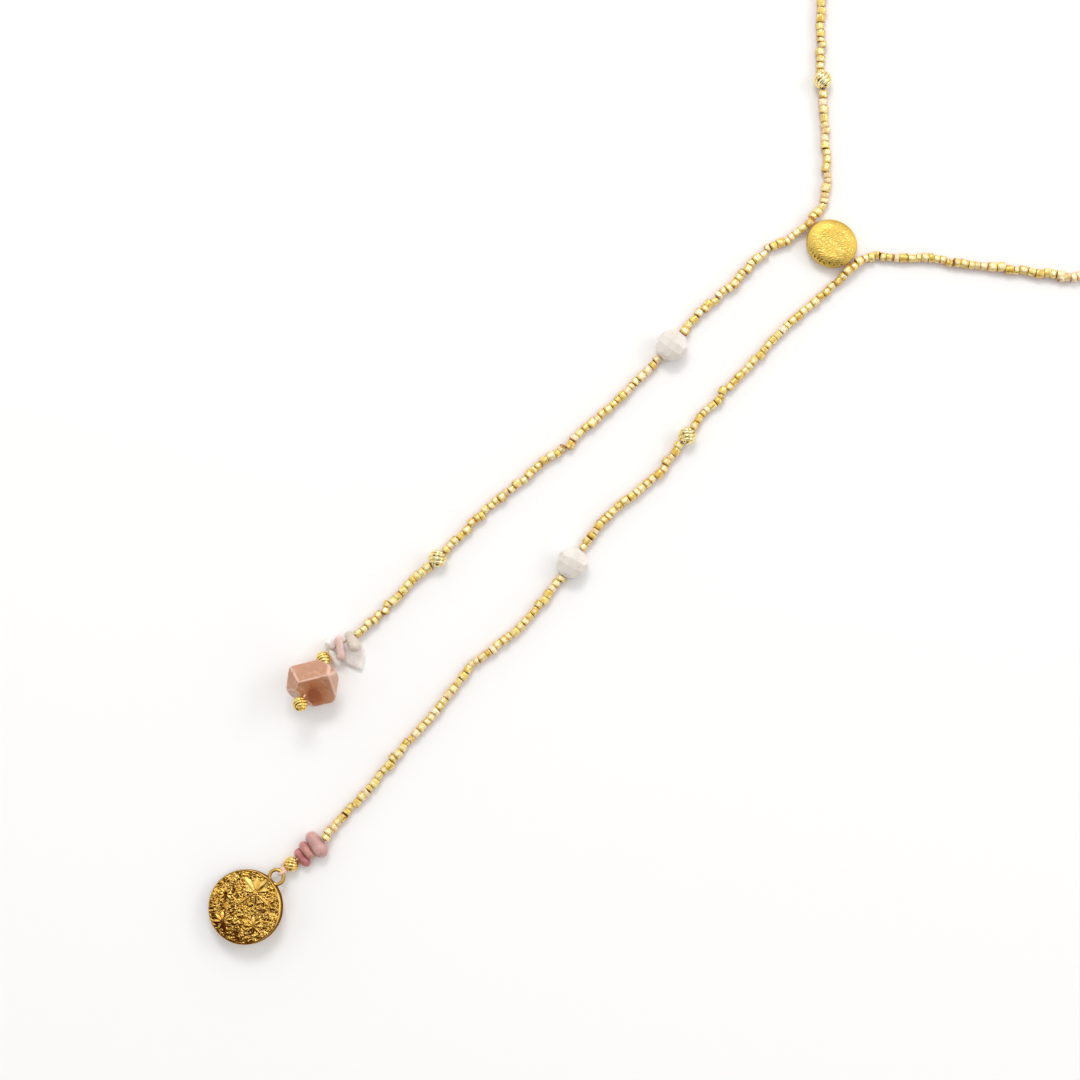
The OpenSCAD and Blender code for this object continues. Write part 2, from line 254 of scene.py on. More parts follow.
def castGold(name, bright, dark, roughness, shade):
    # relief is high on the ridges and low in the recesses, and also carries painted light and
    # shade; low relief gets the dark colour, patina in the hollows and painted shade
    gold = Finish(name, metallic=1, specularTint=paint(206, 150, 66))
    relief = gold.attribute("relief")[0]
    patches = gold.grain(0.5, 4)
    patinaAndShade = gold.between(relief + 0.12 * (patches - 0.5), shade[0], shade[1])
    colour = gold.mix(gold.between(patches, 0.3, 0.75), bright, goldTints["warm"])
    # dark patina in the hollows and painted shade where the relief paint is low
    colour = gold.mix(patinaAndShade, dark, colour)
    # painted highlight where the relief paint is highest
    colour = gold.mix(gold.between(relief, 0.9, 1.3), colour, goldTints["bright"])
    # painted near-black shade and dark reflections where the relief paint is below zero
    colour = gold.mix(gold.between(relief, -0.1, -0.5), colour, goldTints["spot"])
    pits = gold.grain(9, 4)
    gold.give(
        baseColor=colour,
        roughness=gold.between(patinaAndShade, 0, 1, roughness + 0.22, roughness),
        normal=gold.bump(pits, 0.25, 0.00006))
    return gold.material


def seedGlass(name):
    # tone: which colour, how clear, and how much amber shows, with painted shade low on the side,
    # a painted highlight on top and a painted dark reflection at an end
    glass = Finish(name, coatWeight=1, coatRoughness=0.04, coatIor=1.52)
    tone, clear, side = glass.attribute("tone")
    speckle = glass.grain(1.7, 3, 0.65)
    lining = glass.node("ValToRGB", {"stops": [
        (0, (226, 182, 62)), (0.3, (236, 202, 88)), (0.5, (242, 216, 108)),
        (0.68, (236, 204, 126)), (0.85, (238, 206, 154)), (1, (248, 230, 192)),
    ]}, {"Fac": tone})
    amber = glass.mix(clear, (196, 128, 30), (204, 144, 76))
    ragged = side + 1.1 * (speckle - 0.5)
    inner = glass.grain(1.25, 2)
    colour = glass.mix(glass.between(inner, 0.52, 0.62, 0, 0.65), lining, (255, 242, 184))
    colour = glass.mix(glass.between(inner, 0.47, 0.36, 0, 0.6), colour, (208, 158, 56))
    # amber glass at the ends, and painted shade low down on the sides
    colour = glass.mix(glass.between(ragged, 0.2, 0.8), colour, amber)
    # painted highlight: a pale window on the top of the bead
    colour = glass.mix(glass.between(ragged, -0.2, -0.6, 0, 0.9), colour, (255, 246, 200))
    # painted reflection: a dark spot where the next bead is mirrored
    colour = glass.mix(glass.between(ragged, 1.2, 1.7), colour, (134, 84, 44))
    glass.give(
        baseColor=colour,
        metallic=glass.between(clear, 0, 1, 0.45, 0.15),
        roughness=glass.between(speckle, 0.3, 0.7, 0.22, 0.42),
        normal=glass.bump(speckle, 0.3, 0.00008))
    return glass.material


def softThread(name, dark, light):
    thread = Finish(name, sheenWeight=0.3, sheenRoughness=0.5)
    fibres = thread.grain(6, 4)
    thread.give(
        baseColor=thread.mix(fibres, dark, light),
        roughness=thread.between(fibres, 0, 1, 0.6, 0.85),
        normal=thread.bump(fibres, 0.5, 0.00006))
    return thread.material


def milkyQuartz(name):
    quartz = Finish(
        name, subsurfaceWeight=0.35, subsurfaceRadius=(1, 0.9, 0.85), subsurfaceScale=0.0012,
        transmissionWeight=0.2, ior=1.54, coatWeight=0.2, coatRoughness=0.2)
    clouds = quartz.grain(0.35, 4)
    specks = quartz.grain(3.2, 1)
    colour = quartz.mix(
        quartz.between(clouds, 0.35, 0.65), (238, 229, 219), (246, 240, 232))
    colour = quartz.mix(quartz.between(specks, 0.74, 0.82), colour, (190, 184, 180))
    quartz.give(baseColor=colour, roughness=quartz.between(clouds, 0.3, 0.7, 0.26, 0.38))
    return quartz.material


def tumbledStone(name, light, dark, deep, scale, clear):
    stone = Finish(
        name, transmissionWeight=clear, ior=1.52, coatWeight=0.2, coatRoughness=0.16,
        subsurfaceWeight=0.45, subsurfaceRadius=(1, 0.7, 0.65), subsurfaceScale=0.0014)
    clouds = stone.grain(scale, 4)
    flecks = stone.grain(scale * 4, 2)
    colour = stone.mix(stone.between(clouds, 0.35, 0.68), light, dark)
    colour = stone.mix(stone.between(flecks, 0.6, 0.72, 0, 0.6), colour, deep)
    stone.give(
        baseColor=colour,
        roughness=stone.between(flecks, 0.3, 0.8, 0.24, 0.4),
        normal=stone.bump(clouds, 0.3, 0.0002))
    return stone.material


def peachStone(name):
    # core: how near the dark middle, vein: how near a pale edge, face: how pink the facet is
    stone = Finish(
        name, coatWeight=0.35, coatRoughness=0.15, subsurfaceWeight=0.12,
        subsurfaceRadius=(1, 0.55, 0.4), subsurfaceScale=0.001)
    core, vein, face = stone.attribute("grain")
    streaky = stone.node("Mapping", {}, {
        "Vector": stone.place, "Rotation": (0, 0, math.radians(28)), "Scale": (0.35, 1.6, 1)})
    streaks = stone.grain(0.8, 6, 0.62, streaky)
    clouds = stone.grain(0.4, 4)
    colour = stone.mix(stone.between(clouds, 0.3, 0.7), (172, 114, 78), (191, 141, 108))
    colour = stone.mix(stone.between(face, 0, 0.5, 0, 0.8), colour, (189, 137, 109))
    colour = stone.mix(stone.between(face, 0.6, 1, 0, 0.7), colour, (204, 164, 140))
    colour = stone.mix(
        stone.between(core + 0.9 * (clouds - 0.5), 0, 0.5, 0, 0.75), colour, (182, 106, 62))
    colour = stone.mix(
        stone.between(core + 0.9 * (clouds - 0.5), 0.35, 0.85), colour, (154, 78, 34))
    pale = stone.between(streaks, 0.52, 0.7, 0, 0.55) * (1 - 0.8 * core)
    colour = stone.mix(pale, colour, (222, 180, 154))
    colour = stone.mix(
        stone.between(vein + 0.9 * (clouds - 0.5), 0.4, 1, 0, 0.8), colour, (230, 196, 176))
    stone.give(
        baseColor=colour,
        roughness=stone.between(streaks, 0.3, 0.75, 0.26, 0.42),
        normal=stone.bump(streaks, 0.25, 0.0001))
    return stone.material


def studioFloor():
    floor = Finish("studioFloor", roughness=0.8, specularIorLevel=0.2)
    floor.give(baseColor=(*studio["floor"], 1))
    return floor.material


# Mesh helpers
def newPiece(name, points, faces, materials, smooth=True, paints=None):
    mesh = bpy.data.meshes.new(name)
    mesh.from_pydata(np.asarray(points).tolist(), [], [list(map(int, f)) for f in faces])
    mesh.validate()
    for paintName, values in (paints or {}).items():
        layer = mesh.attributes.new(paintName, "FLOAT_COLOR", "POINT")
        rows = np.ones((len(mesh.vertices), 4))
        rows[:, :values.shape[1]] = values
        layer.data.foreach_set("color", rows.ravel())
    for material in materials:
        mesh.materials.append(material)
    mesh.polygons.foreach_set("use_smooth", [smooth] * len(mesh.polygons))
    piece = bpy.data.objects.new(name, mesh)
    bpy.context.scene.collection.objects.link(piece)
    return piece


def reshape(piece, **modifiers):
    # runs the modifiers in turn and keeps what they make
    for kind, values in modifiers.items():
        made = piece.modifiers.new(kind, kind)
        for name, value in values.items():
            setattr(made, name, value)
    graph = bpy.context.evaluated_depsgraph_get()
    done = bpy.data.meshes.new_from_object(piece.evaluated_get(graph))
    piece.modifiers.clear()
    piece.data = done


def dress(piece, slot, *replaced):
    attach(piece, "root")
    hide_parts(*replaced)


def unit(vector):
    return vector / np.linalg.norm(vector)


def wallOf(rings, count):
    # quads between each ring of points and the next one
    return [(first + k, first + (k + 1) % count, first + count + (k + 1) % count,
             first + count + k)
            for first in range(0, (rings - 1) * count, count) for k in range(count)]


def tubeAlong(path, radii, sides):
    # a round tube on a path, with its ends closed
    path = np.asarray(path, float)
    ways = np.gradient(path, axis=0)
    ways /= np.linalg.norm(ways, axis=1)[:, None]
    side = unit(np.cross(ways[0], (0.13, 0.21, 1)))
    a = 2 * math.pi * np.arange(sides)[:, None] / sides
    points = []
    for spot, way, radius in zip(path, ways, np.broadcast_to(radii, len(path))):
        side = unit(side - way * side.dot(way))
        points.extend(spot + radius * (np.cos(a) * side + np.sin(a) * np.cross(way, side)))
    faces = wallOf(len(path), sides)
    faces.append(tuple(range(sides))[::-1])
    faces.append(tuple(range((len(path) - 1) * sides, len(path) * sides)))
    return points, faces


def joined(parts):
    # several (points, faces) as one
    points, faces = [], []
    for morePoints, moreFaces in parts:
        start = len(points)
        points.extend(np.asarray(morePoints).tolist())
        faces.extend([tuple(start + k for k in f) for f in moreFaces])
    return points, faces


def bendPath(points, step=0.25):
    # an even, smooth run through chosen points
    points = np.asarray(points, float)
    ends = np.vstack([2 * points[0] - points[1], points, 2 * points[-1] - points[-2]])
    run = []
    for k in range(1, len(ends) - 2):
        a, b, c, d = ends[k - 1:k + 3]
        for t in np.linspace(0, 1, 24, endpoint=False):
            run.append(0.5 * (2 * b + (c - a) * t + (2 * a - 5 * b + 4 * c - d) * t ** 2
                              + (3 * b - a - 3 * c + d) * t ** 3))
    run = np.array(run + [points[-1]])
    reach = np.concatenate([[0], np.cumsum(np.linalg.norm(np.diff(run, axis=0), axis=1))])
    even = np.linspace(0, reach[-1], max(2, int(reach[-1] / step) + 1))
    return np.stack([np.interp(even, reach, run[:, k]) for k in range(3)], 1), even


def turned(way, roll=0):
    # a turn that takes +Y to a direction, for rows of points
    turn = Vector(way).normalized().to_track_quat("Y", "Z").to_matrix()
    return np.array((turn @ Matrix.Rotation(roll, 3, "Y")).transposed())


def placed(points):
    # mm from the slider's middle to metres in the row's frame
    return np.asarray(points) * mm + np.array(sliderAt)


def middleOf(node):
    return np.mean(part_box(node), axis=0)


def softNoise(seed, *columns):
    # smooth random swells, one value for each point, from about -1 to 1
    spots = np.column_stack(columns)
    size = spots.shape[1]
    chance = np.random.default_rng(seed + 1000)
    table = chance.permutation(256)
    slopes = chance.normal(size=(256, size))
    slopes /= np.linalg.norm(slopes, axis=1)[:, None]
    cell = np.floor(spots).astype(int)
    part = spots - cell
    ease = part ** 3 * (part * (part * 6 - 15) + 10)
    total = np.zeros(len(spots))
    for corner in product((0, 1), repeat=size):
        index = np.zeros(len(spots), int)
        weight = np.ones(len(spots))
        for axis, step in enumerate(corner):
            index = table[(index + cell[:, axis] + step) % 256]
            weight *= ease[:, axis] if step else 1 - ease[:, axis]
        total += weight * (slopes[index] * (part - corner)).sum(1)
    return total * 1.6


def ridges(seed, *columns):
    # thin crests with wider valleys between them, from 0 to 1
    return np.clip(1 - 2.4 * np.abs(softNoise(seed, *columns)), 0, 1)


# Strings of seed beads
strings = {
    "beadR": 0.9,
    "threadR": 0.2,
    "gap": 0.2,
    "pitch": 1.4,
    "loopR": 91,
    "loopY": 91 * math.sqrt(2) - 3,
    "jointUp": 1.5,
    "neckLeft": [[(-6.7, 4), (-9.4, 8), (-12.3, 11), (-18.2, 16.4)], [(-28, 25)]],
    "neckRight": [[(7.2, 3.6), (9.8, 6), (12.2, 8.2), (14.3, 10.6), (19.6, 14.6),
                   (25, 18.6), (31, 23.4), (37, 28.3), (40, 31)]],
    "leftTail": [
        [(-6.6, -5), (-8, -9), (-8.6, -14), (-8.2, -19), (-8.7, -23), (-8.9, -29)],
        [(-8.2, -45), (-8.1, -51), (-8.4, -57), (-8.9, -63), (-8.7, -66), (-9.9, -72),
         (-10.2, -76), (-10.9, -82), (-11.2, -88), (-11.1, -94)],
        [(-11.6, -105), (-11.6, -110), (-11.5, -116)]],
    "rightTail": [
        [(6.2, -5), (5.9, -10), (5.5, -16), (5.3, -22), (5.7, -28), (5.6, -33),
         (6.1, -38), (5.8, -42)],
        [(7.4, -53), (8, -57), (7.5, -63), (6.8, -69), (7.1, -74)],
        [(9.4, -89), (10, -94), (9.9, -100), (9.4, -106), (8.6, -110), (9.3, -115),
         (9.8, -120), (10.5, -126), (10.5, -131), (11.2, -137), (11.6, -142),
         (11.9, -147), (11.8, -151)]],
}
beadProfile = [  # along the hole, radius, both as shares
    (-0.5, 0.46), (-0.5, 0.8), (-0.47, 0.92), (-0.38, 0.985), (-0.15, 1), (0.15, 1),
    (0.38, 0.985), (0.47, 0.92), (0.5, 0.8), (0.5, 0.46)]
beadSides = 14


def beadTemplate():
    points = [(radius * math.cos(a), along, radius * math.sin(a))
              for along, radius in beadProfile
              for a in [2 * math.pi * k / beadSides for k in range(beadSides)]]
    rings = len(beadProfile)
    last = (rings - 1) * beadSides
    faces = wallOf(rings, beadSides)
    faces += [(last + k, last + (k + 1) % beadSides, (k + 1) % beadSides, k)
              for k in range(beadSides)]
    return np.array(points), [f[::-1] for f in faces]


def layBeads(run, reach, chance, template, pale):
    # beads nose to tail along one stretch of a string, pale is the share of pale ones
    total = reach[-1]
    count = max(1, round(total / strings["pitch"]))
    lengths = chance.uniform(0.66, 1.22, count)
    lengths *= total / lengths.sum()
    starts = np.concatenate([[0], np.cumsum(lengths)[:-1]])
    points, tones = [], []

    def at(distance):
        return np.array([np.interp(distance, reach, run[:, k]) for k in range(3)])

    for start, length in zip(starts, lengths):
        middle = start + length / 2
        spot = at(middle)
        way = unit(at(middle + 0.5) - at(middle - 0.5))  # over 1 mm of the string
        wild = 2 if chance.random() < 0.16 else 1
        way = unit(way + chance.normal(0, 0.12, 3) * wild * np.array([1, 1, 0.5]))
        radius = strings["beadR"] * chance.uniform(0.87, 1.1)
        across = unit(np.cross(way, (0, 0, 1)))
        spot = spot + across * chance.normal(0, 0.13) * wild
        spot[2] += radius - strings["beadR"] + chance.uniform(0, 0.08)
        size = np.array([radius, length * chance.uniform(0.95, 1), radius])
        world = (template * size) @ turned(way, chance.uniform(0, 6.28)) + spot
        points.append(world)
        if chance.random() < pale:
            tone, clear = chance.uniform(0.55, 1), chance.uniform(0.4, 0.9)
        else:
            tone, clear = chance.uniform(0, 0.58), chance.uniform(0, 0.35)
        up = (world[:, 2] - spot[2]) / radius
        ends = np.abs(template[:, 1]) * 2
        side = np.clip(0.95 - 1.15 * up, 0, 1) * 0.8 + np.clip(ends - 0.8, 0, 0.2) * 3
        side = np.clip(side, 0, 1)  # how much amber shows: the amber glass at the ends, and painted shade low down on the sides
        if chance.random() < 0.7:  # a painted highlight on the top of the bead
            glint = np.clip((up - 0.7) / 0.2, 0, 1) * np.clip((0.6 - ends) / 0.25, 0, 1)
            side -= glint * chance.uniform(0.4, 1)
        if chance.random() < 0.12:  # a dark spot where the next bead is mirrored
            end = np.sign(template[:, 1]) == chance.choice((-1, 1))
            side += 1.2 * (end * (ends > 0.7) * (np.abs(up - chance.uniform(0.2, 0.9)) < 0.3))
        tones.append(np.column_stack([0 * side + tone, 0 * side + clear, side]))
    return points, tones


def makeString(name, node, stretches, threads, seed, pale):
    # stretches are runs filled with beads, threads the bare runs between and beyond them
    chance = np.random.default_rng(seed)
    template, templateFaces = beadTemplate()
    beads, tones = [], []
    for stretch in stretches:
        run, reach = bendPath(stretch)
        moreBeads, moreTones = layBeads(run, reach, chance, template, pale)
        beads += moreBeads
        tones += moreTones
    parts = [(bead, templateFaces) for bead in beads]
    parts += [tubeAlong(bendPath(line, 0.5)[0], strings["threadR"], 6) for line in threads]
    points, faces = joined(parts)
    tones = np.vstack(tones)
    tones = np.vstack([tones, np.zeros((len(points) - len(tones), 3))])
    piece = newPiece(name, placed(points), faces,
                     [finishes["seedGlass"], finishes["beigeThread"]], paints={"tone": tones})
    index = np.zeros(len(faces), int)
    index[len(beads) * len(templateFaces):] = 1
    piece.data.polygons.foreach_set("material_index", index)
    dress(piece, "seed_glass", node)
    print(name, len(beads), "beads")


def onFloor(points):
    return [(x, y, strings["beadR"]) for x, y in points]


def wayPast(name, number):
    # direction of a string past the larger bead after one of its stretches
    before, after = strings[name][number][-1], strings[name][number + 1][0]
    return (*np.subtract(after, before), 0)


def loopRound(side, start):
    # from the last chosen point to the middle of the loop's back
    x, y = abs(start[0]), start[1] - strings["loopY"]
    first = math.atan2(y, x) + math.acos(strings["loopR"] / math.hypot(x, y))
    return [(side * strings["loopR"] * math.cos(a),
             strings["loopY"] + strings["loopR"] * math.sin(a), strings["beadR"])
            for a in np.linspace(first, math.pi / 2, 16)]


joint = {"x": -6.21576, "y": 0.653303, "rise": 0.045}
tailEnds = {
    "left": (-12, -122.3, 1.4), "chipsEnd": (-13.519, -128.884, 1.457),
    "cap": (-13.07, -130.12, 2.279), "endBall": (-9.8737, -138.912, 8.1243),
    "right": (12.3, -155.6, 1.5), "dropBall": (11.26, -163.62, 1.5),
    "knot": (11.0144, -165.514, 1.552), "ringTop": (11.0085, -165.967),
}
beadSpots = {  # middle, half its length along the hole, height of its hole
    "neckBall": ((-24.3, 21.7), 1.62, 1.8), "leftQuartz": ((-8.2, -37), 3.05, 2),
    "leftBall": ((-11.2, -99.9), 1.62, 1.8), "rightBall": ((6.7, -47.5), 1.62, 1.8),
    "rightQuartz": ((8.4, -81.6), 3.05, 2),
}


def planString(name, start, beads, end):
    # runs to fill with seed beads, and the bare thread through each larger bead between them
    runs, threads = [], []
    run = [start]
    for number, stretch in enumerate(strings[name]):
        run += onFloor(stretch)
        if number < len(beads):
            middle, half, up = beadSpots[beads[number]]
            reach = unit(wayPast(name, number))[:2] * (half + strings["gap"])
            before, after = onFloor([middle - reach, middle + reach])
            runs.append(run + [before])
            threads.append([before, (*middle, up), after])
            run = [after]
    return runs + [run + end], threads


def makeStrings():
    leftJoint = np.array([joint["x"], joint["y"], strings["jointUp"]])
    rightJoint = leftJoint * (-1, -1, 1)
    rise = np.array([0, joint["rise"], 0])
    ends = tailEnds
    leftRound = loopRound(-1, strings["neckLeft"][-1][-1])
    rightRound = loopRound(1, strings["neckRight"][-1][-1])
    for piece, node, name, start, beads, end, last, seed, pale in (
            ("seedBeadsNeckLeft", "neck_string_left", "neckLeft", leftJoint + rise,
             ["neckBall"], leftRound, [], 11, 0.16),
            ("seedBeadsNeckRight", "neck_string_right", "neckRight", rightJoint + rise,
             [], rightRound, [], 12, 0.3),
            ("seedBeadsLeftTail", "left_string", "leftTail", leftJoint - rise,
             ["leftQuartz", "leftBall"], [ends["left"]],
             [[ends["left"], ends["chipsEnd"], ends["cap"], ends["endBall"]]], 13, 0.16),
            ("seedBeadsRightTail", "right_string", "rightTail", rightJoint - rise,
             ["rightBall", "rightQuartz"], [ends["right"]],
             [[ends["right"], ends["dropBall"], ends["knot"]]], 14, 0.18)):
        runs, threads = planString(name, start, beads, end)
        makeString(piece, node, runs, threads + last, seed, pale)


# Fluted gold balls
balls = {
    "flutes": 8,
    "depth": 0.12,
    "twist": 150,
    "rows": 44,
    "around": 10,  # points round each flute
    "hole": 0.35,
    "lips": (0.2, 0.9),  # how far out the hole's wall starts and ends, as shares
    "sizes": (3.6, 3),
    "large": [("neckBall", "neck_gold_ball", "neckLeft", 0),
              ("leftBall", "left_gold_ball", "leftTail", 1),
              ("rightBall", "right_gold_ball", "rightTail", 0)],
    "small": [("capBall", "nugget_gold_ball", "cap", "endBall"),
              ("endBall", "end_gold_ball", "cap", "endBall"),
              ("dropBall", "pendant_gold_ball", "right", "dropBall")],
}


def makeBall(name, node, way, size):
    sides = balls["flutes"] * balls["around"]
    bearing = 2 * math.pi * np.arange(sides) / sides
    crest = (0.5 + 0.5 * np.cos(bearing * balls["flutes"])) ** 0.7
    outer = balls["lips"][1]
    points, reliefs = [], []

    def addRing(radius, along, share, relief):
        a = bearing - math.radians(balls["twist"]) * (share - 0.5)
        points.append(np.stack([radius * np.cos(a), 0 * a - along, radius * np.sin(a)], 1))
        reliefs.append(relief)

    for lip in balls["lips"]:
        addRing(balls["hole"], size / 2 * lip, 0, 0 * crest)
    for share in np.linspace(0, 1, balls["rows"] + 1):
        lat = math.asin(outer) * (1 - 2 * share)
        radius = size / 2 * (1 - balls["depth"] * (1 - crest) * math.cos(lat) ** 0.5)
        addRing(radius * math.cos(lat), radius * math.sin(lat), share, crest)
    for lip in balls["lips"][::-1]:
        addRing(balls["hole"], -size / 2 * lip, 1, 0 * crest)
    faces = [f[::-1] for f in wallOf(len(points), sides)]
    points = np.vstack(points) * mm @ turned(way) + middleOf(node)
    gold = finishes["paleGold" if size == balls["sizes"][0] else "polishedGold"]
    # the relief paint is each flute's crest, low in the valleys and at the hole, where the gold
    # gets its painted shade
    piece = newPiece(name, points, faces, [gold], paints={"relief": np.hstack(reliefs)[:, None]})
    dress(piece, "gold", node)


def makeBalls():
    for piece, node, route, number in balls["large"]:
        makeBall(piece, node, wayPast(route, number), balls["sizes"][0])
    for piece, node, start, end in balls["small"]:
        way = np.subtract(tailEnds[end], tailEnds[start])
        makeBall(piece, node, way, balls["sizes"][1])
    print("gold balls made")


# Faceted coin stones
stones = {
    "width": 6.1, "thick": 4, "length": 6.1,
    "facet": 1.45,  # mm across a facet of the checkerboard
    "turn": 8,
    "girdle": 18,  # sides of its waist
    "wider": 1.06,  # the dome's width as a share of the waist's
    "reach": 0.86,  # how far out the checkerboard goes, as a share squared
    "uneven": 0.006,
    "bevel": 0.05,
}


def cutByPlanes(planes):
    # the solid inside all the planes, worked out on their dual points
    dual = bmesh.new()
    for normal, distance in planes:
        dual.verts.new(Vector(normal) / distance)
    bmesh.ops.convex_hull(dual, input=dual.verts)
    dual.verts.ensure_lookup_table()
    dual.faces.ensure_lookup_table()
    corners = {}
    for face in dual.faces:
        a, b, c = (v.co for v in face.verts[:3])
        normal = (b - a).cross(c - a)
        corners[face.index] = normal / normal.dot(a)
    points, faces, seen = [], [], {}

    def cornerIndex(corner):
        key = tuple(round(v, 4) for v in corner)
        if key not in seen:
            seen[key] = len(points)
            points.append(tuple(corner))
        return seen[key]

    dual.faces.index_update()
    for vert in dual.verts:
        around = [corners[f.index] for f in vert.link_faces]
        if len(around) < 3:
            continue
        normal = vert.co.normalized()
        middle = sum(around, Vector()) / len(around)
        side = normal.orthogonal().normalized()
        other = normal.cross(side)
        around.sort(key=lambda p: math.atan2((p - middle).dot(other), (p - middle).dot(side)))
        ring = []
        for corner in around:
            index = cornerIndex(corner)
            if index not in ring:
                ring.append(index)
        if len(ring) > 2:
            faces.append(ring)
    dual.free()
    return points, faces


def makeCoinStone(name, node, way, seed):
    chance = np.random.default_rng(seed)
    a, c = stones["width"] / 2 * stones["wider"], stones["thick"] / 2
    planes = []
    turn = Matrix.Rotation(math.radians(stones["turn"]), 2)
    step = stones["facet"]
    for face, i, j in product((1, -1), range(-3, 4), range(-3, 4)):
        x, y = turn @ Vector((i * step, j * step))
        share = (x / a) ** 2 + (y / a) ** 2
        if share > stones["reach"]:
            continue
        z = face * c * math.sqrt(1 - share)
        normal = Vector((x / a ** 2, y / a ** 2, z / c ** 2)).normalized()
        normal = (normal + Vector(chance.normal(0, stones["uneven"], 3))).normalized()
        planes.append((normal, normal.dot(Vector((x, y, z)))))
    for k in range(stones["girdle"]):
        g = 2 * math.pi * (k + 0.5) / stones["girdle"]
        planes.append(((math.cos(g), math.sin(g), 0.0), stones["width"] / 2))
    for end in (1, -1):
        planes.append(((0.0, float(end), 0.0), stones["length"] / 2))
    points, faces = cutByPlanes(planes)
    points = np.array(points) * mm @ turned(way) + middleOf(node)
    piece = newPiece(name, points, faces, [finishes["milkyQuartz"]], smooth=False)
    reshape(piece, BEVEL={"width": stones["bevel"] * mm, "segments": 1,
                          "limit_method": "ANGLE", "angle_limit": math.radians(4)})
    dress(piece, "pale_quartz", node)


def makeCoinStones():
    makeCoinStone("leftQuartz", "left_quartz", wayPast("leftTail", 0), 5)
    makeCoinStone("rightQuartz", "right_quartz", wayPast("rightTail", 1), 6)
    print("coin stones made")


# Tumbled chips
chips = {
    "voxel": 0.16,
    "swell": 0.1,  # mm of uneven surface
    "pieces": [  # piece, solid, finish, slot, seed, mm put on so that neighbours nearly touch
        ("creamChip", "pale_chip_1", "creamStone", "pale_stone", 1.3, 0.09),
        ("fanChip", "pale_chip_2", "clearStone", "pale_stone", 5.1, 0.09),
        ("pinkChip", "pale_chip_3", "rosyStone", "rosy_stone", 2.7, 0.12),
        ("greyChip", "pale_chip_4", "clearStone", "pale_stone", 8.2, 0.25),
        ("lastPaleChip", "pale_chip_5", "clearStone", "pale_stone", 9.4, 0.25),
        ("roseChip", "pink_chip_1", "roseStone", "rosy_stone", 3.3, 0.09),
        ("knobChip", "pink_chip_2", "brownRoseStone", "rosy_stone", 4.6, 0.12),
        ("deepRoseChip", "pink_chip_3", "deepRoseStone", "rosy_stone", 6.9, 0.12),
    ],
}


def makeChip(name, node, finish, slot, seed, fuller):
    # the solid's own lobes, made smooth and then uneven
    source = nodes[node].data
    piece = newPiece(name, [v.co[:] for v in source.vertices],
                     [p.vertices[:] for p in source.polygons], [finishes[finish]])
    shape = bmesh.new()
    shape.from_mesh(piece.data)
    bmesh.ops.remove_doubles(shape, verts=shape.verts, dist=1e-6)
    shape.to_mesh(piece.data)
    shape.free()
    reshape(piece, REMESH={"mode": "VOXEL", "voxel_size": chips["voxel"] * mm},
            SMOOTH={"factor": 0.5, "iterations": 10}, SUBSURF={"levels": 1})
    spots = np.array([vertex.co[:] for vertex in piece.data.vertices])
    out = np.array([vertex.normal[:] for vertex in piece.data.vertices])
    swell = softNoise(1, spots / mm * 0.55 + seed) + 0.5 * softNoise(2, spots / mm * 1.3 + seed)
    spots += out * ((swell * chips["swell"] + fuller) * mm)[:, None]
    piece.data.vertices.foreach_set("co", spots.ravel())
    piece.data.polygons.foreach_set("use_smooth", [True] * len(piece.data.polygons))
    dress(piece, slot, node)


def makeChips():
    for row in chips["pieces"]:
        makeChip(*row)
    print("chips made")


# Nugget
nugget = {
    "width": 10.3,
    "round": 20,  # the higher, the sharper its edges
    "facets": [  # bearing, slope upwards, distance as a share of the width
        (143, 43, 0.347), (337, 53, 0.251), (216, 36, 0.433), (285, 23, 0.354),
        (34, 29, 0.452), (91, 34, 0.521), (153, -29, 0.368), (218, -25, 0.429),
        (277, -30, 0.472), (323, -29, 0.412), (37, -31, 0.433), (93, -33, 0.361),
        (0, -90, 0.47)],
    "core": (2.0, -1.0, 2.2),  # mm from the middle of the stone
    "coreSize": (1.9, 2.6),
    "amber": (1, 9, 3),  # facets through which the core shows
    "pinkish": (0, 5), "pinkest": 4,
    "dips": 0.006,  # of a hand polished stone, as a share
}


def makeNugget():
    bearing, slope, share = np.array(nugget["facets"], float).T
    bearing, slope = np.radians(bearing), np.radians(slope)
    normals = np.stack([np.cos(slope) * np.cos(bearing), np.cos(slope) * np.sin(bearing),
                        np.sin(slope)], 1)
    distance = share * nugget["width"]
    ball = bmesh.new()
    bmesh.ops.create_icosphere(ball, subdivisions=6, radius=1)
    ways = np.array([v.co[:] for v in ball.verts])
    faces = [[v.index for v in f.verts] for f in ball.faces]
    ball.free()
    inverse = np.maximum(ways @ normals.T, 1e-6) / distance  # 1 over the reach to each plane
    sharp = nugget["round"]
    reach = (inverse ** sharp).sum(1) ** (-1 / sharp)
    ranked = np.sort(inverse, 1)
    edge = np.clip(1 - (ranked[:, -1] - ranked[:, -2]) / ranked[:, -1] * 6.5, 0, 1)
    points = ways * reach[:, None]
    shift = middleOf("peach_nugget") / mm - (points.min(0) + points.max(0)) / 2
    chief = inverse.argmax(1)
    toCore = points - nugget["core"]
    u, v = leaning(toCore[:, 0], toCore[:, 1]) / np.array(nugget["coreSize"])[:, None]
    core = np.exp(-v ** 2 - u ** 2) * np.isin(chief, nugget["amber"])
    pink = np.isin(chief, nugget["pinkish"]) * 0.5 + (chief == nugget["pinkest"]) * 1.0
    paints = {"grain": np.stack([core, edge, pink], 1)}
    points *= 1 + nugget["dips"] * softNoise(0, points * 0.6)[:, None]
    piece = newPiece("nugget", (points + shift) * mm, faces, [finishes["peachStone"]],
                     paints=paints)
    dress(piece, "peach_stone", "peach_nugget")
    print("nugget made")


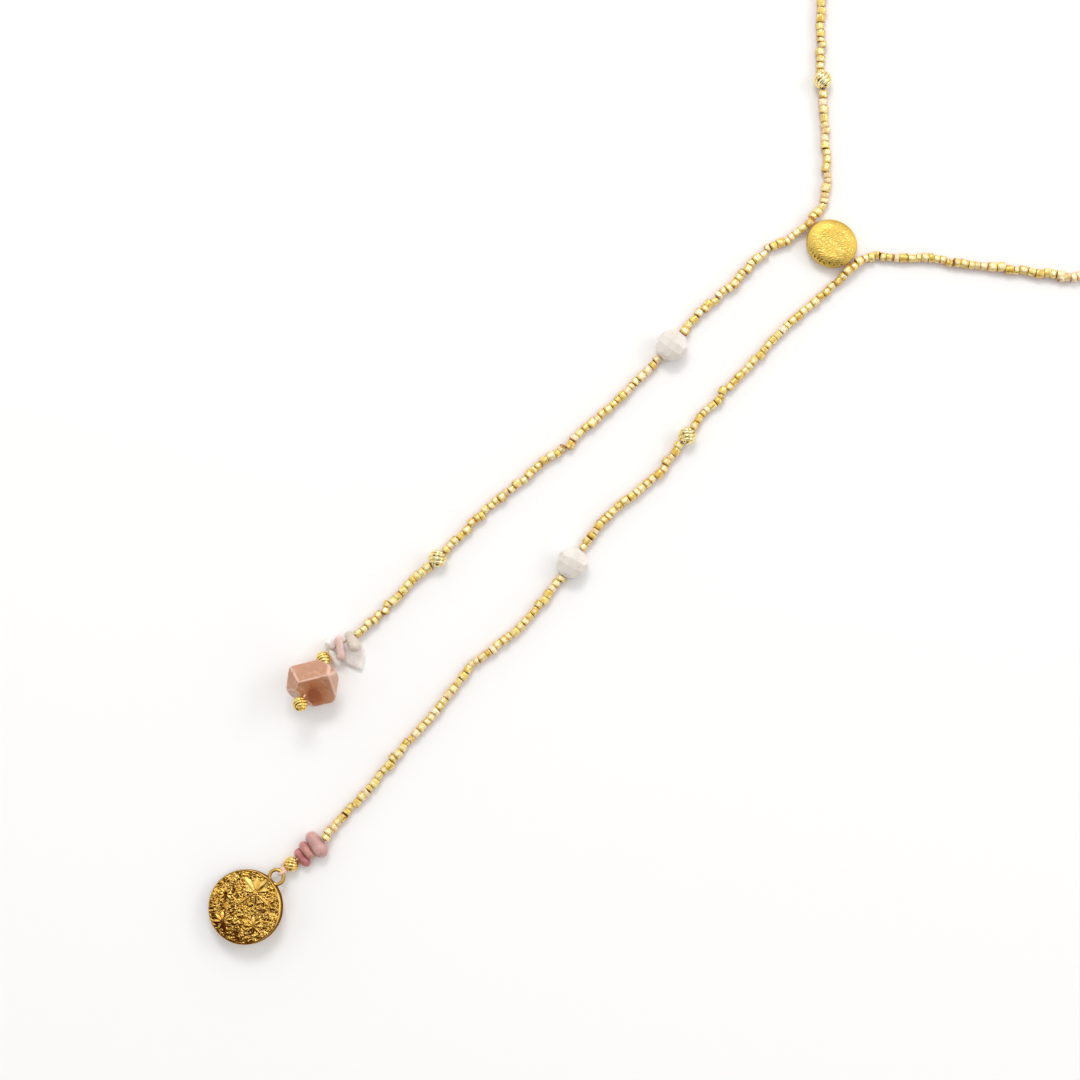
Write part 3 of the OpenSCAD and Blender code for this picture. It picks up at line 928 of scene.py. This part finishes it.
# Coins
def discGrid(count):
    # an even grid of points on a disc of radius 1, with its quads and its outer ring
    line = np.linspace(-1, 1, count + 1)
    x, y = np.meshgrid(line, line)
    big = np.maximum(np.abs(x), np.abs(y))
    far = np.hypot(x, y)
    scale = np.divide(big, far, out=np.ones_like(big), where=far > 0)
    points = np.stack([x * scale, y * scale], -1).reshape(-1, 2)
    row = count + 1
    quads = [(j * row + i, j * row + i + 1, (j + 1) * row + i + 1, (j + 1) * row + i)
             for j in range(count) for i in range(count)]
    ring = list(range(count))
    ring += [j * row + count for j in range(count)]
    ring += [count * row + i for i in range(count, 0, -1)]
    ring += [j * row for j in range(count, 0, -1)]
    return points, quads, ring


def coinMesh(radius, face, back, edge, count):
    # face and back give heights and reliefs, edge is the rounded side's profile
    flat, quads, ring = discGrid(count)
    points, heights = [], []
    for side, surface in ((1, face), (-1, back)):
        spots = flat * radius * edge["inner"]
        height, relief = surface(spots[:, 0], spots[:, 1])
        points.append(np.column_stack([spots, side * height]))
        heights.append(relief)
    size = len(flat)
    faces = list(quads) + [tuple(size + k for k in q[::-1]) for q in quads]
    rim = len(ring)
    rings = [ring]
    for share, height, relief in edge["profile"]:
        spots = flat[ring] * radius * share
        points.append(np.column_stack([spots, np.full(rim, height)]))
        heights.append(np.full(rim, relief))
        start = 2 * size + (len(rings) - 1) * rim
        rings.append(list(range(start, start + rim)))
    rings.append([size + k for k in ring])
    for over, under in zip(rings, rings[1:]):
        faces += [(over[k - 1], under[k - 1], under[k], over[k]) for k in range(rim)]
    return np.vstack(points), faces, np.concatenate(heights)


def leaning(x, y):
    # along and across the crumple, which runs askew of the strings
    return (x + y) / math.sqrt(2), (y - x) / math.sqrt(2)


slider = {
    "radius": 5.15, "thick": 3, "edge": 1.6, "flat": 0.28,
    "oval": 0.9,  # shortest width, as a share of the longest
    "turn": 15,  # bearing of the longest width
    "crumple": 0.04,  # height of its low strokes, mm
    "spacing": 0.62,  # between neighbouring strokes
    "waves": 22,
    "main": 115,  # angle across most of the strokes
    "bevel": 0.25,  # width of the plain border
    "dents": 0.03,  # depth of the wide dents
    "sunk": 0.04,  # how far the face lies below the full thickness, and a nick below the face
}


def sliderSurface(seed):
    def surface(x, y):
        flatR = slider["radius"] * 2 * slider["flat"]
        reach = slider["radius"] - slider["bevel"] - flatR
        t = np.clip((np.hypot(x, y) - flatR) / reach, 0, 1)
        height = (slider["edge"] + (slider["thick"] - slider["edge"])
                  * np.cos(math.pi / 2 * t)) / 2
        u, v = leaning(x, y)
        bend = softNoise(seed, u * 0.45, v * 0.45)
        twist = softNoise(seed + 1, u * 0.8, v * 0.8)
        chance = np.random.default_rng(seed)
        waves = np.zeros_like(x)
        for angle in np.linspace(0, math.pi, slider["waves"], endpoint=False):
            across = (u + 0.6 * bend) * math.cos(angle) + (v + 0.6 * twist) * math.sin(angle)
            length = slider["spacing"] * chance.uniform(0.85, 1.2)
            waves += np.cos(2 * math.pi * across / length + chance.uniform(0, 6.28)) \
                * (1 + 0.8 * math.cos(2 * (angle - math.radians(slider["main"]))))
        waves /= math.sqrt(slider["waves"] / 2)
        strokes = np.clip(0.9 * waves - 0.25, 0, 1)
        strokes *= 1 - np.clip((t - 0.72) * 5, 0, 1)
        height += slider["crumple"] * strokes + slider["dents"] * twist * (1 - t)
        # nicks dented into the lower-left edge, with their colour painted near-black as dark
        # reflections
        lower = np.clip((-0.42 * u - 1.06 * v) / slider["radius"] * 4 - 2, 0, 1)
        nick = softNoise(seed + 9, u * 2.2 + bend, v * 4.4 + twist)
        spots = lower * np.clip((t - 0.4) * 5, 0, 1) * np.clip((nick - 0.28) * 12, 0, 1)
        height -= slider["sunk"] * spots
        sunny = np.clip((-v - 0.4 * u) / slider["radius"], -1, 1)
        # the relief paint: the strokes, painted light brighter towards the lower left, and the
        # nicks
        return height - slider["sunk"], 0.7 * strokes + 0.25 * sunny - 1.3 * spots
    return surface


def makeSlider():
    r = slider["radius"]
    rim = {"inner": 0.95, "profile": [
        (0.975, 0.68, 0.3), (0.992, 0.5, 0.3), (1, 0.28, 0.2), (1, 0, 0.2), (1, -0.28, 0.2),
        (0.992, -0.5, 0.2), (0.975, -0.68, 0.2)]}
    points, faces, heights = coinMesh(r, sliderSurface(21), sliderSurface(31), rim, 190)
    turn = Matrix.Rotation(math.radians(slider["turn"]), 3, "Z")
    squeeze = turn @ Matrix.Diagonal((1, slider["oval"], 1)) @ turn.transposed()
    points = points @ np.array(squeeze) + (0, 0, slider["thick"] / 2)
    piece = newPiece("sliderCoin", placed(points), faces, [finishes["sliderGold"]],
                     paints={"relief": heights[:, None]})
    dress(piece, "gold", "slider_coin")
    print("slider coin made")


pendant = {
    "radius": 7.4, "thick": 2.2, "rim": 0.35,
    "relief": 0.25,  # height of the ground's creases, and their depth below the rim
    "below": 0.08,  # how much deeper the ground lies
    "star": (0.06, 0.34),  # a ray's height at its side, and what its spine adds
    "worn": 0.03,  # off the rim's height
    "lean": 10, "pitch": 0.5, "way": (-0.13, -10),
    "at": (10.8792, -175.916, 2.36982),
    "ringBore": 2.2, "ringWire": 0.7,
    "stars": [  # middle, (bearing, length, width) of each ray, boldness, in radii and degrees
        ((-0.09, 0.48), [(173, 0.52, 0.085), (129, 0.4, 0.1), (91, 0.47, 0.085),
                         (52, 0.37, 0.06), (2, 0.52, 0.04), (-45, 0.39, 0.05),
                         (-99, 0.66, 0.045), (217, 0.36, 0.06)], 1),
        ((-0.15, -0.71), [(180, 0.28, 0.05), (136, 0.3, 0.06), (85, 0.28, 0.05),
                          (60, 0.32, 0.04), (28, 0.24, 0.04), (-25, 0.27, 0.05),
                          (-65, 0.24, 0.05), (225, 0.28, 0.05)], 0.9),
        ((0.525, -0.17), [(139, 0.26, 0.055), (180, 0.22, 0.04), (85, 0.2, 0.045),
                          (42, 0.26, 0.04), (0, 0.28, 0.04), (-45, 0.22, 0.045),
                          (-90, 0.24, 0.04), (222, 0.28, 0.04)], 0.85),
        ((-0.63, -0.14), [(185, 0.18, 0.04), (133, 0.2, 0.04), (85, 0.18, 0.04),
                          (45, 0.2, 0.045), (0, 0.2, 0.045), (-45, 0.18, 0.05),
                          (-90, 0.2, 0.045), (225, 0.2, 0.04)], 0.7),
    ],
}


def starHeight(x, y):
    # each ray is a kite with a spine, made of its height, its cover and its shaded flank
    spine, cover, lee = np.zeros_like(x), np.zeros_like(x), np.zeros_like(x)
    for (middleX, middleY), rays, boldness in pendant["stars"]:
        dx, dy = x / pendant["radius"] - middleX, y / pendant["radius"] - middleY
        for angle, length, width in rays:
            a = math.radians(angle)
            along = (dx * math.cos(a) + dy * math.sin(a)) / length
            across = -dx * math.sin(a) + dy * math.cos(a)
            inside = np.clip(along, 0, 1)
            leaf = width * np.minimum(inside / 0.6, (1 - inside) / 0.4) ** 0.8 + 0.002
            lift = np.where((along > 0) & (along < 1), 1 - np.abs(across) / leaf, -1)
            height = boldness * np.clip(lift, 0, 1) * np.sin(math.pi * (inside * 0.75 + 0.15))
            flank = np.sign(across) * math.cos(a - math.radians(60))
            away = 0.8 * max(0, -math.cos(a - math.radians(150))) ** 6
            lee = np.where(height > spine, np.clip(0.1 - 0.6 * flank + away, 0, 1), lee)
            spine = np.maximum(spine, height)
            cover = np.maximum(cover, boldness * np.clip(1 + 2 * lift, 0, 1))
        hub = np.exp(-(dx ** 2 + dy ** 2) / 0.05 ** 2)
        spine = spine * (1 - hub) - 0.6 * boldness * hub
        lee = np.maximum(lee, hub)
        cover = np.maximum(cover, boldness * hub)
    return spine, cover, lee


def pendantFace(x, y):
    r = np.hypot(x, y)
    u, v = leaning(x, y)
    bend = softNoise(41, u * 0.6, v * 0.6)
    twist = softNoise(42, u * 0.9, v * 0.9)
    coarse = softNoise(43, u + 0.5 * bend, v * 2.1 + 0.7 * twist)
    fine = softNoise(44, u * 2.4 + 0.4 * twist, v * 4.2 + 0.4 * bend)
    crease = ridges(45, u + 0.6 * bend, v * 2.2 + 0.9 * twist)
    curl = ridges(46, u * 1.8 + 0.8 * twist, v * 3.2 - 0.8 * bend)
    ground = np.clip(0.14 + 0.35 * coarse + 0.35 * fine + 0.5 * crease ** 1.3
                     + 0.4 * curl ** 1.3, 0, 1)
    spine, cover, lee = starHeight(x, y)
    bright = np.exp(-((np.arctan2(v, u) - 0.1) / 0.45) ** 2)  # where the rim is wider, with a painted highlight band on it at the right
    start = pendant["radius"] - pendant["rim"] * (1 + 0.8 * bright) + 0.12 * bend
    edge = np.clip((r - start) / 0.2, 0, 1)
    edge = edge * edge * (3 - 2 * edge)
    top = pendant["thick"] / 2
    side, crest = pendant["star"]
    height = top - pendant["relief"] - pendant["below"] \
        + pendant["relief"] * ground * (1 - cover) + (side + crest * spine) * cover
    # painted shade along the edges of the star rays
    rayEdgeShade = np.clip(1 - np.abs(cover - 0.5) * 2, 0, 1)
    # relief paint: the ground, the rays with a painted highlight towards their spines and painted
    # shade on the flanks turned from the light, and painted shade at their edges
    relief = ground * (1 - cover) + (0.95 + 0.5 * spine - 1.2 * lee) * cover - 0.3 * rayEdgeShade
    height = height * (1 - edge) + (top - pendant["worn"]) * edge
    rimLineShade = np.clip(0.6 + (u - 0.5 * v) / pendant["radius"], 0, 1)  # painted shade along the inside of the rim, darkest at the right
    relief = relief * (1 - edge) + (0.5 + 0.8 * bright) * edge - 2 * rimLineShade * edge * (1 - edge)
    shade = np.clip(-(v + 0.6 * u) / pendant["radius"] - 0.3, 0, 1)
    return height, relief - 0.35 * shade


def pendantBack(x, y):
    swell = softNoise(51, x * 0.5, y * 0.5) + 0.4 * softNoise(52, x, y)
    return pendant["thick"] / 2 + pendant["worn"] * (swell - 1), 0.7 + 0.25 * swell


def makePendant():
    r, half = pendant["radius"], pendant["thick"] / 2
    # each ring of the side: share of the radius, height, relief paint; the relief paint falls down
    # the wall as painted shade
    rim = {"inner": 0.975, "profile": [
        (0.988, half - 0.07, 0.5), (0.996, half - 0.16, 0.4), (1, half - 0.3, 0.3),
        (1, 0.3, 0.3), (1, -0.3, 0.2), (1, 0.3 - half, 0.15), (0.985, 0.06 - half, 0.15)]}
    points, faces, heights = coinMesh(r, pendantFace, pendantBack, rim, 200)
    ringR = (pendant["ringBore"] + pendant["ringWire"]) / 2
    ringAt = r + pendant["ringBore"] / 2
    angles = np.linspace(0, 2 * math.pi, 61)
    path = [(ringR * math.sin(a), ringAt - ringR * math.cos(a), 0) for a in angles]
    fromCoin = np.minimum(angles, 2 * math.pi - angles)
    wire = pendant["ringWire"] / 2 * (1 + 0.35 * np.exp(-(fromCoin / 0.5) ** 2))
    ringPoints, ringFaces = tubeAlong(path, wire, 14)
    wireTop = np.clip(np.array(ringPoints)[:, 2] / pendant["ringWire"] * 2, -1, 1)
    points, faces = joined([(points, faces), (ringPoints, ringFaces)])
    # painted light on the ring: lighter on top of the wire, darker down its sides
    heights = np.concatenate([heights, 0.2 + 0.35 * wireTop])
    wayX, wayY = -np.array(pendant["way"])
    heading = math.atan2(wayY, wayX) - math.pi / 2
    turn = Matrix.Rotation(heading, 3, "Z") \
        @ Matrix.Rotation(math.radians(-pendant["lean"]), 3, "Y") \
        @ Matrix.Rotation(math.radians(-pendant["pitch"]), 3, "X")
    points = np.array(points) @ np.array(turn.transposed()) + pendant["at"]
    piece = newPiece("starPendant", placed(points), faces, [finishes["antiqueGold"]],
                     paints={"relief": heights[:, None]})
    dress(piece, "antique_gold", "coin_pendant")
    print("pendant made")


# Knots
knots = {"cord": 0.33, "wraps": 2.6, "wrapR": 0.6, "length": 0.7, "loopR": 0.66, "askew": 0.22}


def makeKnot():
    # a loop round the ring's wire, then a few tight wraps below the small ball
    knotAt = np.array(tailEnds["knot"])
    ringTop = np.array([*tailEnds["ringTop"], 2.3])
    toBall = unit(np.subtract(tailEnds["dropBall"], knotAt) * (1, 1, 0))
    side = np.cross(toBall, (0, 0, 1))
    up = np.array([0, 0, 1])
    a = np.linspace(-0.6, 2 * math.pi - 0.2, 40)[:, None]
    loop = ringTop + knots["loopR"] * (np.cos(a) * toBall + np.sin(a) * up) \
        + knots["askew"] * np.cos(a / 2) * side
    a = np.linspace(0, 2 * math.pi * knots["wraps"], 60)[:, None]
    along = np.linspace(-0.5, 0.5, 60)[:, None] * knots["length"]
    wraps = knotAt + toBall * along + knots["wrapR"] * (np.cos(a) * side + np.sin(a) * up)
    tail = bendPath([knotAt - side * 0.4, knotAt + toBall * 0.3 - side * 0.75 + (0, 0, 0.3),
                     knotAt + toBall * 1.1 - side * 1.15 + (0, 0, 0.5)], 0.1)[0]
    parts = [tubeAlong(path, knots["cord"], 10) for path in (loop, wraps, tail)]
    points, faces = joined(parts)
    piece = newPiece("threadKnot", placed(points), faces, [finishes["beigeThread"]])
    dress(piece, "thread", "pendant_knot")
    print("knot made")


# The whole necklace
makeCamera()
makeStudio()
finishes = {}
for maker, name, *values in (
        (polishedGold, "paleGold", (255, 242, 190), (246, 218, 138), (122, 84, 26)),
        (polishedGold, "polishedGold", (255, 232, 152), (242, 196, 96), (112, 66, 14)),
        (castGold, "sliderGold", (254, 236, 142), (230, 197, 98), 0.34, (0, 0.7)),
        (castGold, "antiqueGold", (242, 198, 106), (82, 40, 4), 0.24, (0.12, 0.72)),
        (seedGlass, "seedGlass"),
        (softThread, "beigeThread", (206, 166, 138), (244, 214, 192)),
        (softThread, "goldenThread", (164, 104, 44), (222, 166, 88)),
        (milkyQuartz, "milkyQuartz"),
        (tumbledStone, "creamStone", (216, 204, 190), (204, 192, 178), (192, 178, 164), 0.4, 0.05),
        (tumbledStone, "clearStone", (246, 241, 237), (238, 230, 226), (232, 216, 212), 0.4, 0.05),
        (tumbledStone, "rosyStone", (232, 208, 200), (220, 182, 174), (206, 142, 136), 0.5, 0.05),
        (tumbledStone, "roseStone", (212, 168, 160), (196, 148, 142), (186, 134, 130), 0.35, 0.1),
        (tumbledStone, "brownRoseStone", (214, 158, 148), (186, 122, 112), (168, 104, 98),
         0.5, 0.15),
        (tumbledStone, "deepRoseStone", (206, 138, 134), (182, 104, 104), (166, 84, 88),
         0.45, 0.15),
        (peachStone, "peachStone")):
    finishes[name] = maker(name, *values)
print("finishes made")

floor = newPiece("studioFloor", [(-2, -2, 0), (2, -2, 0), (2, 2, 0), (-2, 2, 0)],
                 [(0, 1, 2, 3)], [studioFloor()])
floor.location.z = -0.00002

makeStrings()
makeBalls()
makeCoinStones()
makeChips()
makeNugget()
makeSlider()
makePendant()
makeKnot()

linkThread = nodes["slider_thread"]
linkThread.data.materials.clear()
linkThread.data.materials.append(finishes["goldenThread"])

print("necklace finished")
